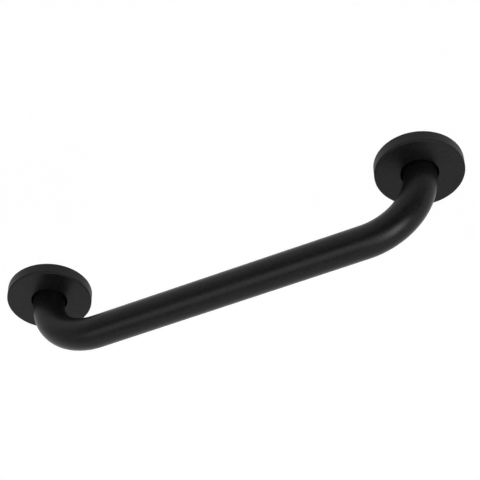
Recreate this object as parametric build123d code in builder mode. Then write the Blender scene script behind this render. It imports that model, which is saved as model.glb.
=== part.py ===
from build123d import *
import os

os.makedirs("parts", exist_ok=True)

# A wall-fixed grab bar, in millimetres. The origin lies on the wall, midway between the
# two fixing points. +X runs along the bar, -Y leaves the wall and +Z is up.

# Bent tube
bar_centres = 400.0  # from one leg's axis to the other's
tube_diameter = 32.0
tube_wall = 1.5
bend_radius = 60.0  # to the tube's own axis
leg_length = 15.0  # straight run from the wall to the start of the bend
tube_end_setback = 0.5  # keeps the cut ends off the wall

# Wall flanges, welded round the tube's ends
flange_thickness = 4.0
flange_rim_clearance = 0.1  # to the inside of the cover's skirt
flange_lead_in = 0.8  # chamfer that guides the cover on
tube_fit_gap = 0.1  # between the tube and the flange's bore
weld_leg = 2.5
screw_hole_diameter = 7.0
screw_hole_count = 3

# Push-on covers, each drawn from one round of sheet
cover_diameter = 85.0
cover_sheet = 1.0
cover_edge_break = 1.2  # bevel round the front edge
cover_hole_gap = 2.0  # open ring all round the tube
screw_head_room = 7.0  # from the flange to the inside of the cover's face

# Sizes that follow from those above
leg_x = bar_centres / 2
bar_standoff = leg_length + bend_radius
tube_radius = tube_diameter / 2
cover_radius = cover_diameter / 2
cover_depth = flange_thickness + screw_head_room + cover_sheet
cover_hole_radius = tube_radius + cover_hole_gap
flange_radius = cover_radius - cover_sheet - flange_rim_clearance
flange_bore_radius = tube_radius + tube_fit_gap
weld_toe_radius = flange_bore_radius + weld_leg
screw_circle_radius = (weld_toe_radius + flange_radius) / 2

left, right = -1, 1


def leg_section(side):
    """Half-section plane of one leg: local x runs along the bar, local y leaves the wall."""
    return Plane(origin=(side * leg_x, 0, 0), x_dir=(1, 0, 0), z_dir=(0, 0, -1))


def leg_axis(side):
    """Centre line of one leg, pointing away from the wall."""
    return Axis(origin=(side * leg_x, 0, 0), direction=(0, -1, 0))


def wall_plane(side):
    """The wall under one leg, with its normal pointing away from the wall."""
    return Plane(origin=(side * leg_x, 0, 0), x_dir=(side, 0, 0), z_dir=(0, -1, 0))


def make_flange(side):
    """Round plate with its weld bead, bored for the tube and drilled for the wall screws.

    The first screw hole points away from the bar's middle, so a driver reaches every screw
    beside the bar and not under it.
    """
    with BuildPart() as flange:
        with BuildSketch(leg_section(side)):
            with BuildLine():
                Polyline(
                    (flange_bore_radius, 0),
                    (flange_radius, 0),
                    (flange_radius, flange_thickness - flange_lead_in),
                    (flange_radius - flange_lead_in, flange_thickness),
                    (weld_toe_radius, flange_thickness),
                    (flange_bore_radius, flange_thickness + weld_leg),
                    close=True,
                )
            make_face()
        revolve(axis=leg_axis(side))
        with BuildSketch(wall_plane(side)):
            with PolarLocations(screw_circle_radius, screw_hole_count):
                Circle(screw_hole_diameter / 2)
        extrude(amount=flange_thickness, mode=Mode.SUBTRACT)
    return flange


def make_cover(side):
    """Shallow drawn cup: a skirt over the flange and a flat face with a wide hole for the tube."""
    with BuildPart() as cover:
        with BuildSketch(leg_section(side)):
            with BuildLine():
                Polyline(
                    (cover_radius, 0),
                    (cover_radius, cover_depth - cover_edge_break),
                    (cover_radius - cover_edge_break, cover_depth),
                    (cover_hole_radius, cover_depth),
                    (cover_hole_radius, cover_depth - cover_sheet),
                    (cover_radius - cover_sheet, cover_depth - cover_sheet),
                    (cover_radius - cover_sheet, 0),
                    close=True,
                )
            make_face()
        revolve(axis=leg_axis(side))
    return cover


with BuildPart() as grab_tube:
    with BuildLine(Plane.XY) as tube_path:
        FilletPolyline(
            (left * leg_x, -tube_end_setback),
            (left * leg_x, -bar_standoff),
            (right * leg_x, -bar_standoff),
            (right * leg_x, -tube_end_setback),
            radius=bend_radius,
        )
    with BuildSketch(Plane(origin=tube_path.line @ 0, z_dir=tube_path.line % 0)):
        Circle(tube_radius)
        Circle(tube_radius - tube_wall, mode=Mode.SUBTRACT)
    sweep()
grab_tube.part.label = "grab_tube"
export_step(grab_tube.part, "parts/grab_tube.step")

left_flange = make_flange(left)
left_flange.part.label = "left_flange"
export_step(left_flange.part, "parts/left_flange.step")

right_flange = make_flange(right)
right_flange.part.label = "right_flange"
export_step(right_flange.part, "parts/right_flange.step")

left_cover = make_cover(left)
left_cover.part.label = "left_cover"
export_step(left_cover.part, "parts/left_cover.step")

right_cover = make_cover(right)
right_cover.part.label = "right_cover"
export_step(right_cover.part, "parts/right_cover.step")
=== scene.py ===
# %% [markdown]
# # A matte black grab bar
#
# The real object is one steel tube, bent back to the wall at both ends. A round plate is welded to
# each end and screwed to the wall, and a shallow round cover hides the plate and its screws.
# Everything is coated in the same matte black powder.
#
# The measured solids come first: they are the fixed frame that every surface below has to fit.

import bpy
import numpy as np
from mathutils import Matrix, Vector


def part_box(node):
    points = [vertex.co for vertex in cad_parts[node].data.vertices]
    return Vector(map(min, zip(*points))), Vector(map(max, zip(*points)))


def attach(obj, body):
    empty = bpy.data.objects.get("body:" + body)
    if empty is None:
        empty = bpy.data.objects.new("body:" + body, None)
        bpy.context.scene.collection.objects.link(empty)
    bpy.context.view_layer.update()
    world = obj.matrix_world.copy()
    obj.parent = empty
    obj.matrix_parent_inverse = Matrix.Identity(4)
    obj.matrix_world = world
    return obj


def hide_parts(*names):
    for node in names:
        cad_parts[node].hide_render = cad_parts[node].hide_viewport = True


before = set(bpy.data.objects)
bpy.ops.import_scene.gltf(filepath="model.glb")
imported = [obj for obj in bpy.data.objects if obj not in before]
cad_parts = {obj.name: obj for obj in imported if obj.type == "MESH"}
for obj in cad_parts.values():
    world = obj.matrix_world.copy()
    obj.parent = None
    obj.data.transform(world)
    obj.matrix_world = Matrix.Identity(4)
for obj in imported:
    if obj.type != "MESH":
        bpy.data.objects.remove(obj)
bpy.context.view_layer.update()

# %% [markdown]
# The sizes are read off the solids, so that a longer bar or a wider cover needs no new numbers
# here. Facets make a round solid a hair smaller than it is, so each corner is rounded to a tenth
# of a millimetre. What a bounding box can't show, such as the thickness of a wall, is a named
# value. The tube comes first, because everything sits on it, and each other piece is measured
# where it is made.

# %% Measure the tube
mm = 0.001


def measured(node):
    """Lowest and highest corner of a solid in metres, to the nearest tenth of a millimetre."""
    corners = np.array([list(corner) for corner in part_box(node)])
    return np.round(corners, decimals=4)


tube_low, tube_high = measured("grab_tube")
tube_radius = (tube_high[2] - tube_low[2]) / 2
leg_x = tube_high[0] - tube_radius
bar_y = tube_low[1] + tube_radius
tube_end_y = tube_high[1]
tube_wall = 1.5 * mm
bend_radius = 60 * mm
print(f"tube {2 * tube_radius / mm:.1f} mm across, legs {2 * leg_x / mm:.1f} mm apart")

# %% [markdown]
# ## The finish
#
# Powder coat is sprayed on dry and melted in an oven. It flows into a soft skin with a faint
# orange peel, about two millimetres from crest to crest, and a finer grain on top of that. A
# material like this is a small calculation at every point of the surface. Blender does it with
# nodes, and wiring dozens of Math nodes by hand is hard to read, so one small class stands for a
# value on its way through the nodes: adding or multiplying such values adds the node that does it.


# %% A value that flows through the nodes
class Flow:
    """One output socket of a node tree, which takes part in sums and products."""

    def __init__(self, tree, socket):
        self.tree = tree
        self.socket = socket

    @classmethod
    def node(cls, tree, kind, settings=None, inputs=None, output=0):
        """Adds a node: its settings first, then a value or a link for each input."""
        made = tree.nodes.new(kind)
        for name, value in (settings or {}).items():
            setattr(made, name, value)
        for name, value in (inputs or {}).items():
            if isinstance(value, cls):
                tree.links.new(value.socket, made.inputs[name])
            else:
                made.inputs[name].default_value = value
        return cls(tree, made.outputs[output]) if made.outputs else None

    def math(self, operation, first, second):
        """The Math node of that name on two values."""
        settings = {"operation": operation}
        return Flow.node(self.tree, "ShaderNodeMath", settings, {0: first, 1: second})

    def __add__(self, other):
        return self.math("ADD", self, other)

    def __sub__(self, other):
        return self.math("SUBTRACT", self, other)

    def __rsub__(self, other):
        return self.math("SUBTRACT", other, self)

    def __mul__(self, other):
        return self.math("MULTIPLY", self, other)

    def __truediv__(self, other):
        return self.math("DIVIDE", self, other)

    __radd__ = __add__
    __rmul__ = __mul__


# %% [markdown]
# A Math node would turn a colour grey, so colours are blended by a Mix node. Its sockets share
# their names between numbers, vectors and colours, so those for colours are picked by number.
# Noise is counted in cycles to the metre here, because every object is in metres.

# %% Blended colours, noise and empty materials
mix_factor, mix_first, mix_second, mix_colour = 0, 6, 7, 2


def mixed_colour(tree, factor, first, second):
    """A colour between two others, the second one where the factor is 1."""
    sockets = {mix_factor: factor, mix_first: first, mix_second: second}
    return Flow.node(tree, "ShaderNodeMix", {"data_type": "RGBA"}, sockets, mix_colour)


def noise(tree, place, per_metre, detail):
    """Cloudy noise from 0 to 1, with so many cycles in a metre."""
    sockets = {"Vector": place, "Scale": per_metre, "Detail": detail}
    return Flow.node(tree, "ShaderNodeTexNoise", inputs=sockets)


def empty_material(name):
    """A new material with nothing in its node tree yet."""
    material = bpy.data.materials.new(name)
    material.use_nodes = True
    material.node_tree.nodes.clear()
    return material, material.node_tree


# %% [markdown]
# The coat itself is close to black all over, so nearly everything the eye sees on it is blurred
# reflection. Small flecks and a slower drift move the base colour between two blacks, as the
# thickness of the coat does, and the roughness drifts with it. Less powder lands on a wall that
# faces away from the spray, and on an edge the melting powder pulls back. Both leave a thinner,
# slightly greyer and duller skin. The surfaces below carry that as an attribute named thin, from 0
# on a full coat to about 1 on a cut edge. A second attribute, bore, is 1 deep inside the tube,
# where no powder reaches and the steel is bare.

# %% The powder coat
coat_black = (0.0006, 0.0006, 0.0006, 1)
coat_soft_black = (0.0054, 0.0054, 0.0055, 1)
coat_thin_black = (0.0065, 0.0065, 0.0067, 1)
bare_steel = (0.21, 0.20, 0.19, 1)
coat_ior, coat_gloss = 1.5, 0.205
coat_roughness = 0.30
thin_roughness = 0.45
drift_roughness = 0.06
grain_roughness = 0.03
cloud_detail, skin_detail = 3, 2
drift_per_metre, drift_contrast = 38, 0.5
fleck_per_metre, fleck_contrast = 340, 2.5
fleck_balance = -1.0
peel_per_metre, peel_height = 520, 0.03 * mm
grain_per_metre, grain_share = 2900, 0.3
thin_share = 0.7


def powder_coat(name, shift):
    """Matte black powder coat; the shift moves its noise, so that no two pieces match."""
    material, tree = empty_material(name)
    at = Flow.node(tree, "ShaderNodeTexCoord", output="Object")
    place = Flow.node(tree, "ShaderNodeMapping", inputs={"Vector": at, "Location": shift})
    drift = noise(tree, place, drift_per_metre, cloud_detail)
    fleck = noise(tree, place, fleck_per_metre, cloud_detail)
    peel = noise(tree, place, peel_per_metre, skin_detail)
    grain = noise(tree, place, grain_per_metre, skin_detail)
    thin = Flow.node(tree, "ShaderNodeAttribute", {"attribute_name": "thin"}, output="Fac")
    bore = Flow.node(tree, "ShaderNodeAttribute", {"attribute_name": "bore"}, output="Fac")
    clouds = drift * drift_contrast + fleck * fleck_contrast + fleck_balance
    black = mixed_colour(tree, clouds, coat_black, coat_soft_black)
    thinned = mixed_colour(tree, thin * thin_share, black, coat_thin_black)
    colour = mixed_colour(tree, bore, thinned, bare_steel)
    roughness = coat_roughness + drift * drift_roughness + grain * grain_roughness
    roughness = roughness + thin * thin_roughness
    relief = {"Distance": peel_height, "Height": peel + grain * grain_share}
    skin = Flow.node(tree, "ShaderNodeBump", inputs=relief)
    finish = {
        "Base Color": colour,
        "Roughness": roughness,
        "Metallic": bore,
        "IOR": coat_ior,
        "Specular IOR Level": coat_gloss,
        "Normal": skin,
    }
    shader = Flow.node(tree, "ShaderNodeBsdfPrincipled", inputs=finish)
    Flow.node(tree, "ShaderNodeOutputMaterial", inputs={"Surface": shader})
    return material


bar_coat = powder_coat("bar_powder_coat", shift=(0, 0, 0))
cover_coat = powder_coat("cover_powder_coat", shift=(0.31, 0.17, 0.23))
print("finishes:", bar_coat.name, cover_coat.name)

# %% [markdown]
# ## From a grid of points to a mesh
#
# Every piece here goes round in two ways: round the tube or the leg, and round the section of its
# wall. Such a surface is a grid of points whose last row meets the first row and whose last column
# meets the first column, like a doughnut. It has no seam and no pole, so it is closed from the
# start. If its faces come out pointing inwards, the enclosed volume comes out negative, and the
# corners of each face are turned round.


# %% Closed grids
def closed_mesh(name, points, **attributes):
    """Joins a grid of points into a closed mesh of quads and links it as an object.

    Point (i, j) is joined to its neighbours (i + 1, j) and (i, j + 1), and past the last row or
    column to the first. Each attribute is one number for each point of the grid.
    """
    rows, columns = points.shape[:2]
    index = np.arange(rows * columns).reshape(rows, columns)
    after = np.roll(index, -1, axis=0)
    quads = np.stack([index, after, np.roll(after, -1, 1), np.roll(index, -1, 1)], axis=-1)
    corners = points.reshape(-1, 3)[quads]
    one_diagonal = corners[..., 2, :] - corners[..., 0, :]
    other_diagonal = corners[..., 3, :] - corners[..., 1, :]
    outward = np.cross(one_diagonal, other_diagonal)
    if np.sum(outward * corners.mean(axis=2)) < 0:
        quads = quads[..., ::-1]
    mesh = bpy.data.meshes.new(name)
    mesh.from_pydata(points.reshape(-1, 3), [], quads.reshape(-1, 4))
    mesh.shade_smooth()
    for key, values in attributes.items():
        data = mesh.attributes.new(key, "FLOAT", "POINT").data
        data.foreach_set("value", np.broadcast_to(values, (rows, columns)).ravel())
    piece = bpy.data.objects.new(name, mesh)
    bpy.context.scene.collection.objects.link(piece)
    print(f"{name}: {rows} by {columns} points")
    return piece


# %% [markdown]
# No edge of the real bar is sharp: sheet rolls over where it is bent, and powder rounds off what
# was sawn or punched. A Bevel modifier could round the finished mesh, but the corners of a section
# are few, and each can have its own radius before the section is carried along the tube or turned
# about a leg.


# %% Rounded corners
def rounded_corners(corners, rounds, margin, steps=8):
    """Rounds each corner of a closed outline with an arc, and returns one row of points for each.

    The two edges at a corner leave in directions a and b. An arc of radius r touches them at
    r / tan(half their angle) from the corner, and its centre lies between them at
    r / sin(half their angle). Spokes from the centre turn evenly from one touching point to the
    other. One point more on each side, a margin along the edge, keeps the flat faces flat.
    """
    corners = np.array(corners)
    rounds = np.array(rounds)[:, None]
    a = np.roll(corners, 1, axis=0) - corners
    b = np.roll(corners, -1, axis=0) - corners
    a /= np.linalg.norm(a, axis=1, keepdims=True)
    b /= np.linalg.norm(b, axis=1, keepdims=True)
    half = np.arccos(np.sum(a * b, axis=1, keepdims=True)) / 2
    reach = rounds / np.tan(half)
    centre = corners + (a + b) / (2 * np.cos(half)) * rounds / np.sin(half)
    first = (corners + a * reach - centre)[:, None, :]
    last = (corners + b * reach - centre)[:, None, :]
    turn = (np.pi - 2 * half)[:, None, :]
    along = np.linspace(0, 1, steps)[None, :, None]
    arcs = (np.sin((1 - along) * turn) * first + np.sin(along * turn) * last) / np.sin(turn)
    before = (corners + a * (reach + margin))[:, None, :]
    beyond = (corners + b * (reach + margin))[:, None, :]
    return np.concatenate([before, centre[:, None, :] + arcs, beyond], axis=1)


# %% [markdown]
# ## The tube
#
# On the bench the tube is bent cold round a former, so its axis is made of straight runs and two
# quarter circles, and its section stays round. A curve object with a bevel could give that shape,
# but not a wall with an inside. Here the wall's section, a long thin rectangle with rounded ends,
# is carried along the axis instead: how far along the tube a point lies, and how far from the
# axis.

# %% The line that the tube follows
leg_run = tube_end_y - bar_y - bend_radius
bend_run = bend_radius * np.pi / 2
grip_run = 2 * (leg_x - bend_radius)
tube_run = 2 * (leg_run + bend_run) + grip_run


def tube_line(along):
    """Points on the tube's axis and directions towards the inside of its bends.

    The axis starts at the left end and leaves the wall, turns a quarter circle, follows the bar,
    turns a second quarter circle and comes back. The length covered in each of the five runs
    is the whole length cut to where that run starts and ends. A run of length l along a
    straight adds l in its direction, and a bend turned by t adds the radius times (1 - cos t)
    across its first direction and the radius times sin t along it.
    """
    first_leg = np.clip(along, 0, leg_run)
    first_turn = np.clip(along - leg_run, 0, bend_run) / bend_radius
    grip = np.clip(along - leg_run - bend_run, 0, grip_run)
    second_turn = np.clip(along - leg_run - bend_run - grip_run, 0, bend_run) / bend_radius
    second_leg = np.clip(along - leg_run - 2 * bend_run - grip_run, 0, leg_run)
    x = -leg_x + bend_radius * (1 - np.cos(first_turn)) + grip + bend_radius * np.sin(second_turn)
    y = tube_end_y - first_leg - bend_radius * np.sin(first_turn)
    y = y + bend_radius * (1 - np.cos(second_turn)) + second_leg
    turn = first_turn + second_turn
    level = np.zeros_like(along)
    return np.stack([x, y, level], axis=-1), np.stack([np.cos(turn), np.sin(turn), level], axis=-1)


print(f"the tube is {tube_run / mm:.0f} mm long before it is bent")

# %% [markdown]
# The wall's section runs out along the outside of the tube, round its cut end and back along the
# inside. The rings of points stand close together in the bends and far apart on the straight grip,
# where nothing turns.

# %% The section of the tube's wall
cut_round = 0.25 * mm
cut_margin = 0.15 * mm
rings_per_bend = 41
rings_on_grip = 12

bend_stations = np.linspace(0, bend_run, rings_per_bend)
stations = np.concatenate(
    [
        [leg_run / 2],
        leg_run + bend_stations,
        leg_run + bend_run + np.linspace(0, grip_run, rings_on_grip)[1:-1],
        leg_run + bend_run + grip_run + bend_stations,
        [tube_run - leg_run / 2],
    ]
)
wall_corners = [
    (0, tube_radius),
    (tube_run, tube_radius),
    (tube_run, tube_radius - tube_wall),
    (0, tube_radius - tube_wall),
]
ends = rounded_corners(wall_corners, [cut_round] * 4, cut_margin)
outside = np.stack([stations, np.full_like(stations, tube_radius)], axis=1)
inside = np.stack([stations[::-1], np.full_like(stations, tube_radius - tube_wall)], axis=1)
wall = np.concatenate([ends[0], outside, ends[1], ends[2], inside, ends[3]])
print(f"the wall's section has {len(wall)} points")

# %% [markdown]
# At each point of the section a ring is drawn about the axis. Its spokes turn between the direction
# towards the inside of the bends and straight up, and both stand square to the axis all the way.
# Inside the tube the powder fades out over a few centimetres.

# %% The tube's skin
tube_facets = 96
powder_reach = 25 * mm

axis_points, inward = tube_line(wall[:, 0])
angle = np.linspace(0, 2 * np.pi, tube_facets, endpoint=False)[None, :, None]
spokes = np.cos(angle) * inward[:, None, :] + np.sin(angle) * np.array([0, 0, 1.0])
tube_points = axis_points[:, None, :] + wall[:, 1, None, None] * spokes

from_end = np.minimum(wall[:, 0], tube_run - wall[:, 0])
is_inside = wall[:, 1] < tube_radius - tube_wall / 2
bare = np.clip(from_end / powder_reach, 0, 1) * is_inside
tube = closed_mesh("grab_tube_skin", tube_points, bore=bare[:, None])
tube.data.materials.append(bar_coat)
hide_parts("grab_tube")
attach(tube, "bar")

# %% [markdown]
# ## The covers
#
# Each cover is drawn from one round of sheet, so its front edge is rolled over and not cut, and
# the sheet is as thin at the hole as at the skirt. The section of the cup is an outline of six
# corners, each with its own rounding: from the skirt's rim up to the front edge, across the face
# to the hole, and back on the inside. A revolved curve or a bevelled cylinder would do as well,
# but an outline in numbers can be checked against the solids.

# %% The section of a cup
cover_low, cover_high = measured("right_cover")
cover_radius = (cover_high[0] - cover_low[0]) / 2
cover_depth = cover_high[1] - cover_low[1]
cover_sheet = 1 * mm
cover_hole_gap = 2 * mm
cover_hole_radius = tube_radius + cover_hole_gap
cover_roll = 1.6 * mm
inner_roll = cover_roll - cover_sheet
hole_round = 0.3 * mm
rim_round = 0.25 * mm
flat_margin = 0.12 * mm

cup_outline = [
    (cover_radius, 0),
    (cover_radius, cover_depth),
    (cover_hole_radius, cover_depth),
    (cover_hole_radius, cover_depth - cover_sheet),
    (cover_radius - cover_sheet, cover_depth - cover_sheet),
    (cover_radius - cover_sheet, 0),
]
cup_rounds = [rim_round, cover_roll, hole_round, hole_round, inner_roll, rim_round]
cup_section = rounded_corners(cup_outline, cup_rounds, flat_margin)
print(f"covers {2 * cover_radius / mm:.1f} mm across and {cover_depth / mm:.1f} mm deep")

# %% [markdown]
# The powder is sprayed at the face. It lies thinner on the skirt outside, thinner still on the
# roll, and thinnest on the cut edges of the hole and the rim. A painted mask could hold that, but
# the section already says where each corner is, so one number for each of its points is enough.

# %% Where the powder lies thin
skirt_thin, roll_thin, cut_thin = 0.35, 0.6, 1.0


def thin_powder(before, middle, beyond):
    """How thin the powder lies at each point of the cup's section.

    Round each corner it runs evenly from the value before it to the value beyond it, and half a
    sine wave of the middle value is added on the way.
    """
    before, middle, beyond = np.array([before, middle, beyond])[:, :, None]
    through = np.linspace(0, 1, cup_section.shape[1])
    return before * (1 - through) + middle * np.sin(np.pi * through) + beyond * through


cup_thin = thin_powder(
    before=[0, skirt_thin, 0, 0, 0, 0],
    middle=[cut_thin, roll_thin, cut_thin, cut_thin, 0, cut_thin],
    beyond=[skirt_thin, 0, 0, 0, 0, 0],
)
print(f"thinness of the powder on a cup: {cup_thin.min():.2f} to {cup_thin.max():.2f}")

# %% [markdown]
# The section is turned about each leg, which gives the two cups. They ride on bodies of their own,
# because a cover slides along its leg to free the screws.

# %% The two cups
cover_facets = 192
sides = {"left": -1, "right": 1}


def about_leg(section, side, facets):
    """Turns a section about a leg.

    Radius r and height h become, at each angle t, x = the leg's place + r cos t, y = -h and
    z = r sin t.
    """
    t = np.linspace(0, 2 * np.pi, facets, endpoint=False)
    radius, height = section[..., 0], section[..., 1]
    x = side * leg_x + radius * np.cos(t)
    return np.stack([x, -height * np.ones_like(t), radius * np.sin(t)], axis=-1)


for name, side in sides.items():
    cup_points = about_leg(cup_section.reshape(-1, 1, 2), side, cover_facets)
    cup = closed_mesh(name + "_cover_cup", cup_points, thin=cup_thin.reshape(-1, 1))
    cup.data.materials.append(cover_coat)
    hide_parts(name + "_cover")
    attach(cup, name + "_cover")

# %% [markdown]
# ## The welds under the covers
#
# The bead that joins each plate to the tube is laid down in small overlapping pools, which leave
# ripples. They show when a cover is slid up, so each bead is a ring with a rippled crown, sunk
# into the plain fillet of the solid. Bump could draw the ripples, but not on the bead's outline.

# %% The section of a bead
flange_low = measured("right_flange")[0]
weld_leg = 2.5 * mm
flange_face = -flange_low[1] - weld_leg
bead_crown = 2.15 * mm
bead_sunk = 0.5 * mm
ripple_height = 0.14 * mm
ripple_sweep = 0.35
ripples = 46
bead_facets = 460
bead_steps = 10


def rippled_bead():
    """Radius and height of each point round the bead's section, at every angle about the leg.

    The crown is a quarter circle that leans by an angle l from the plate up to the tube. At angle
    t about the leg the pools rise as |sin(half their number times t)|, swept back by sin 2l, and
    between two pools the crown is lower by the ripple's height times sin 2l. The other corners
    are sunk into the tube and the plate.
    """
    t = np.linspace(0, 2 * np.pi, bead_facets, endpoint=False)[None, :]
    lean = np.linspace(0, np.pi / 2, bead_steps)[:, None]
    pool = np.abs(np.sin(ripples / 2 * t + ripple_sweep * np.sin(2 * lean)))
    crown = bead_crown - ripple_height * (1 - pool) * np.sin(2 * lean)
    low = np.full_like(t, flange_face - bead_sunk)
    high = np.full_like(t, flange_face + bead_crown)
    inner = np.full_like(t, tube_radius - bead_sunk)
    outer = np.full_like(t, tube_radius + bead_crown)
    radius = np.concatenate([inner, outer, tube_radius + crown * np.cos(lean), inner])
    height = np.concatenate([low, low, flange_face + crown * np.sin(lean), high])
    return np.stack([radius, height], axis=-1)


bead_section = rippled_bead()
print(f"flange plates {flange_face / mm:.1f} mm thick, each bead with {ripples} ripples")

# %% [markdown]
# The plates keep their own solids, which have the right shape already, and only get the finish.

# %% Plates and weld beads
for name, side in sides.items():
    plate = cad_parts[name + "_flange"]
    plate.data.materials.clear()
    plate.data.materials.append(bar_coat)
    bead_points = about_leg(bead_section, side, bead_facets)
    bead = closed_mesh(name + "_weld_bead", bead_points)
    bead.data.materials.append(bar_coat)
    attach(bead, "bar")

# %% [markdown]
# ## The studio
#
# The photograph shows the bar on pure white, with no shadow near it. Here the bar hangs at its
# usual height above a white floor that is too far down to catch more than a faint shade.

# %% The floor
floor_z = -0.9
floor_half = 30.0
floor_points = floor_half * np.array([(-1, -1, 0), (1, -1, 0), (1, 1, 0), (-1, 1, 0)])
floor_mesh = bpy.data.meshes.new("floor")
floor_mesh.from_pydata(floor_points + (0, 0, floor_z), [], [(0, 1, 2, 3)])
floor = bpy.data.objects.new("floor", floor_mesh)
bpy.context.scene.collection.objects.link(floor)
print(f"the floor lies {-floor_z:.1f} m below the bar")

# %% [markdown]
# White paint gives back only part of the light, and part of the room above it is dark, so a floor
# that is lit by the room alone looks pale grey. More light would wash out the bar. Instead, wherever
# the camera or a reflection looks at it, the floor glows by the little that is missing, and a
# shadow still darkens it.

# %% The floor's paint
white = (1, 1, 1, 1)
floor_paint_white = 0.8
floor_light = 0.897

floor_paint, tree = empty_material("floor_paint")
seen = [
    Flow.node(tree, "ShaderNodeLightPath", output=ray)
    for ray in ("Is Camera Ray", "Is Glossy Ray", "Is Transmission Ray")
]
missing = 1 - floor_paint_white * floor_light
glow = {"Color": white, "Strength": sum(seen) * missing}
paint = {"Color": (floor_paint_white, floor_paint_white, floor_paint_white, 1)}
lit = Flow.node(tree, "ShaderNodeBsdfDiffuse", inputs=paint)
glowing = Flow.node(tree, "ShaderNodeEmission", inputs=glow)
both = Flow.node(tree, "ShaderNodeAddShader", inputs={0: lit, 1: glowing})
Flow.node(tree, "ShaderNodeOutputMaterial", inputs={"Surface": both})
floor_mesh.materials.append(floor_paint)
print(f"the floor glows by {missing:.2f}")

# %% [markdown]
# A black object is drawn by what it mirrors. Lamp objects could stand for the studio, but near the
# bar they would also light the floor unevenly, so the room is painted on the world instead, far
# away on all sides. It leans with the camera, as the bar in the photograph is seen on a slant. The
# world's node tree asks which way a ray looks, and three directions tell it how far ahead, across
# and above that is. In front of the bar, across and above are measured on a wall one unit away.

# %% Looking into the room
room_lean = np.radians(30.3)
room_up = np.array([np.sin(room_lean), 0, np.cos(room_lean)])
room_right = np.array([np.cos(room_lean), 0, -np.sin(room_lean)])
room_front = np.array([0, -1.0, 0])

world = bpy.data.worlds.new("room")
bpy.context.scene.world = world
world.use_nodes = True
tree = world.node_tree
tree.nodes.clear()
looking = Flow.node(tree, "ShaderNodeTexCoord", output="Generated")


def towards(axis):
    """How far a look into the room goes along an axis: 1 straight along it, -1 away from it."""
    settings = {"operation": "DOT_PRODUCT"}
    return Flow.node(tree, "ShaderNodeVectorMath", settings, {0: looking, 1: axis}, "Value")


def rise(value, start, stop):
    """0 up to the start, 1 from the stop on, and a smooth S between them."""
    settings = {"interpolation_type": "SMOOTHSTEP"}
    sockets = {"Value": value, "From Min": start, "From Max": stop}
    return Flow.node(tree, "ShaderNodeMapRange", settings, sockets)


ahead = towards(room_front)
across = towards(room_right) / ahead
above = towards(room_up) / ahead
print("the room's up leans towards", np.round(room_up, 2))

# %% [markdown]
# The edges of the bar mirror pale walls, a little brighter behind the bar than in front of it. The
# dark line above the highlight along the bar shows that the room is dark high up in front.

# %% Walls and the dark side
front_wall, rear_wall = 0.73, 0.98
wall_turn = 0.6
room_dark = 0.04
dark_tilt = np.radians(45.8)
dark_from, dark_to = 0.26, 0.87

dark_side = np.cos(dark_tilt) * room_up + np.sin(dark_tilt) * room_front
wall_glow = front_wall + rise(0 - ahead, 0, wall_turn) * (rear_wall - front_wall)
shade = wall_glow - rise(towards(dark_side), dark_from, dark_to) * (wall_glow - room_dark)
print(f"walls {front_wall} in front and {rear_wall} behind, {room_dark} on the dark side")

# %% [markdown]
# The highlight along the bar shows a wide soft strip in front, a little above the lens, that fades
# out to the left. The bright spot in the right bend shows a round lamp at the strip's right end.

# %% The strip and the lamp
front_turn = 0.05
strip_glow = 2.58
strip_left, strip_right = -1.40, 0.60
strip_low, strip_high = 0.18, 1.05
strip_soft, strip_fade = 0.25, 1.06
lamp_glow = 6.3
lamp_across, lamp_above = 0.54, 0.75
lamp_core, lamp_edge = 0.30, 0.54


def between(value, low, high, low_soft=strip_soft):
    """1 between two edges and 0 outside them, with soft edges; the low one may fade more slowly."""
    started = rise(value, low - low_soft, low + low_soft)
    return started * (1 - rise(value, high - strip_soft, high + strip_soft))


in_front = rise(ahead, 0, front_turn)
strip_across = between(across, strip_left, strip_right, strip_fade)
strip = strip_across * between(above, strip_low, strip_high) * in_front
beside_lamp = across - lamp_across
over_lamp = above - lamp_above
from_lamp = beside_lamp * beside_lamp + over_lamp * over_lamp
lamp = (1 - rise(from_lamp, lamp_core**2, lamp_edge**2)) * in_front

brightness = shade * (1 - strip) + strip * strip_glow + lamp * lamp_glow
room_light = {"Color": white, "Strength": brightness}
background = Flow.node(tree, "ShaderNodeBackground", inputs=room_light)
Flow.node(tree, "ShaderNodeOutputWorld", inputs={"Surface": background})
print(f"the strip glows by {strip_glow}, and the lamp by {lamp_glow} more")

# %% [markdown]
# ## The camera
#
# The camera stands about a metre and a half away, to the right of the bar and above it, with a
# long lens. The product was photographed at a slant, so the camera is also rolled about its own
# line of sight. Blender's cameras look along their own -Z, so the columns of the camera's matrix
# are the directions right, up and back, and then its place.

# %% Camera
camera_aim = np.array([0.0185, -0.0284, 0.0096])
camera_azimuth = np.radians(23.71)
camera_elevation = np.radians(40.70)
camera_roll = np.radians(-34.91)
camera_distance = 1.4613
camera_lens = 114.6
camera_sensor = 36

level_right = np.array([np.cos(camera_azimuth), np.sin(camera_azimuth), 0])
level_back = np.array([np.sin(camera_azimuth), -np.cos(camera_azimuth), 0])
back = np.cos(camera_elevation) * level_back + np.array([0, 0, np.sin(camera_elevation)])
level_up = np.cross(back, level_right)
right = np.cos(camera_roll) * level_right + np.sin(camera_roll) * level_up
up = np.cross(back, right)
stand = np.eye(4)
stand[:3, :] = np.column_stack([right, up, back, camera_aim + camera_distance * back])

camera = bpy.data.objects.new("camera", bpy.data.cameras.new("camera"))
bpy.context.scene.collection.objects.link(camera)
camera.matrix_world = Matrix(stand.tolist())
camera.data.lens = camera_lens
camera.data.sensor_width = camera_sensor
bpy.context.scene.camera = camera
bpy.context.scene.view_settings.view_transform = "Standard"
print("camera at", np.round(stand[:3, 3], 3))
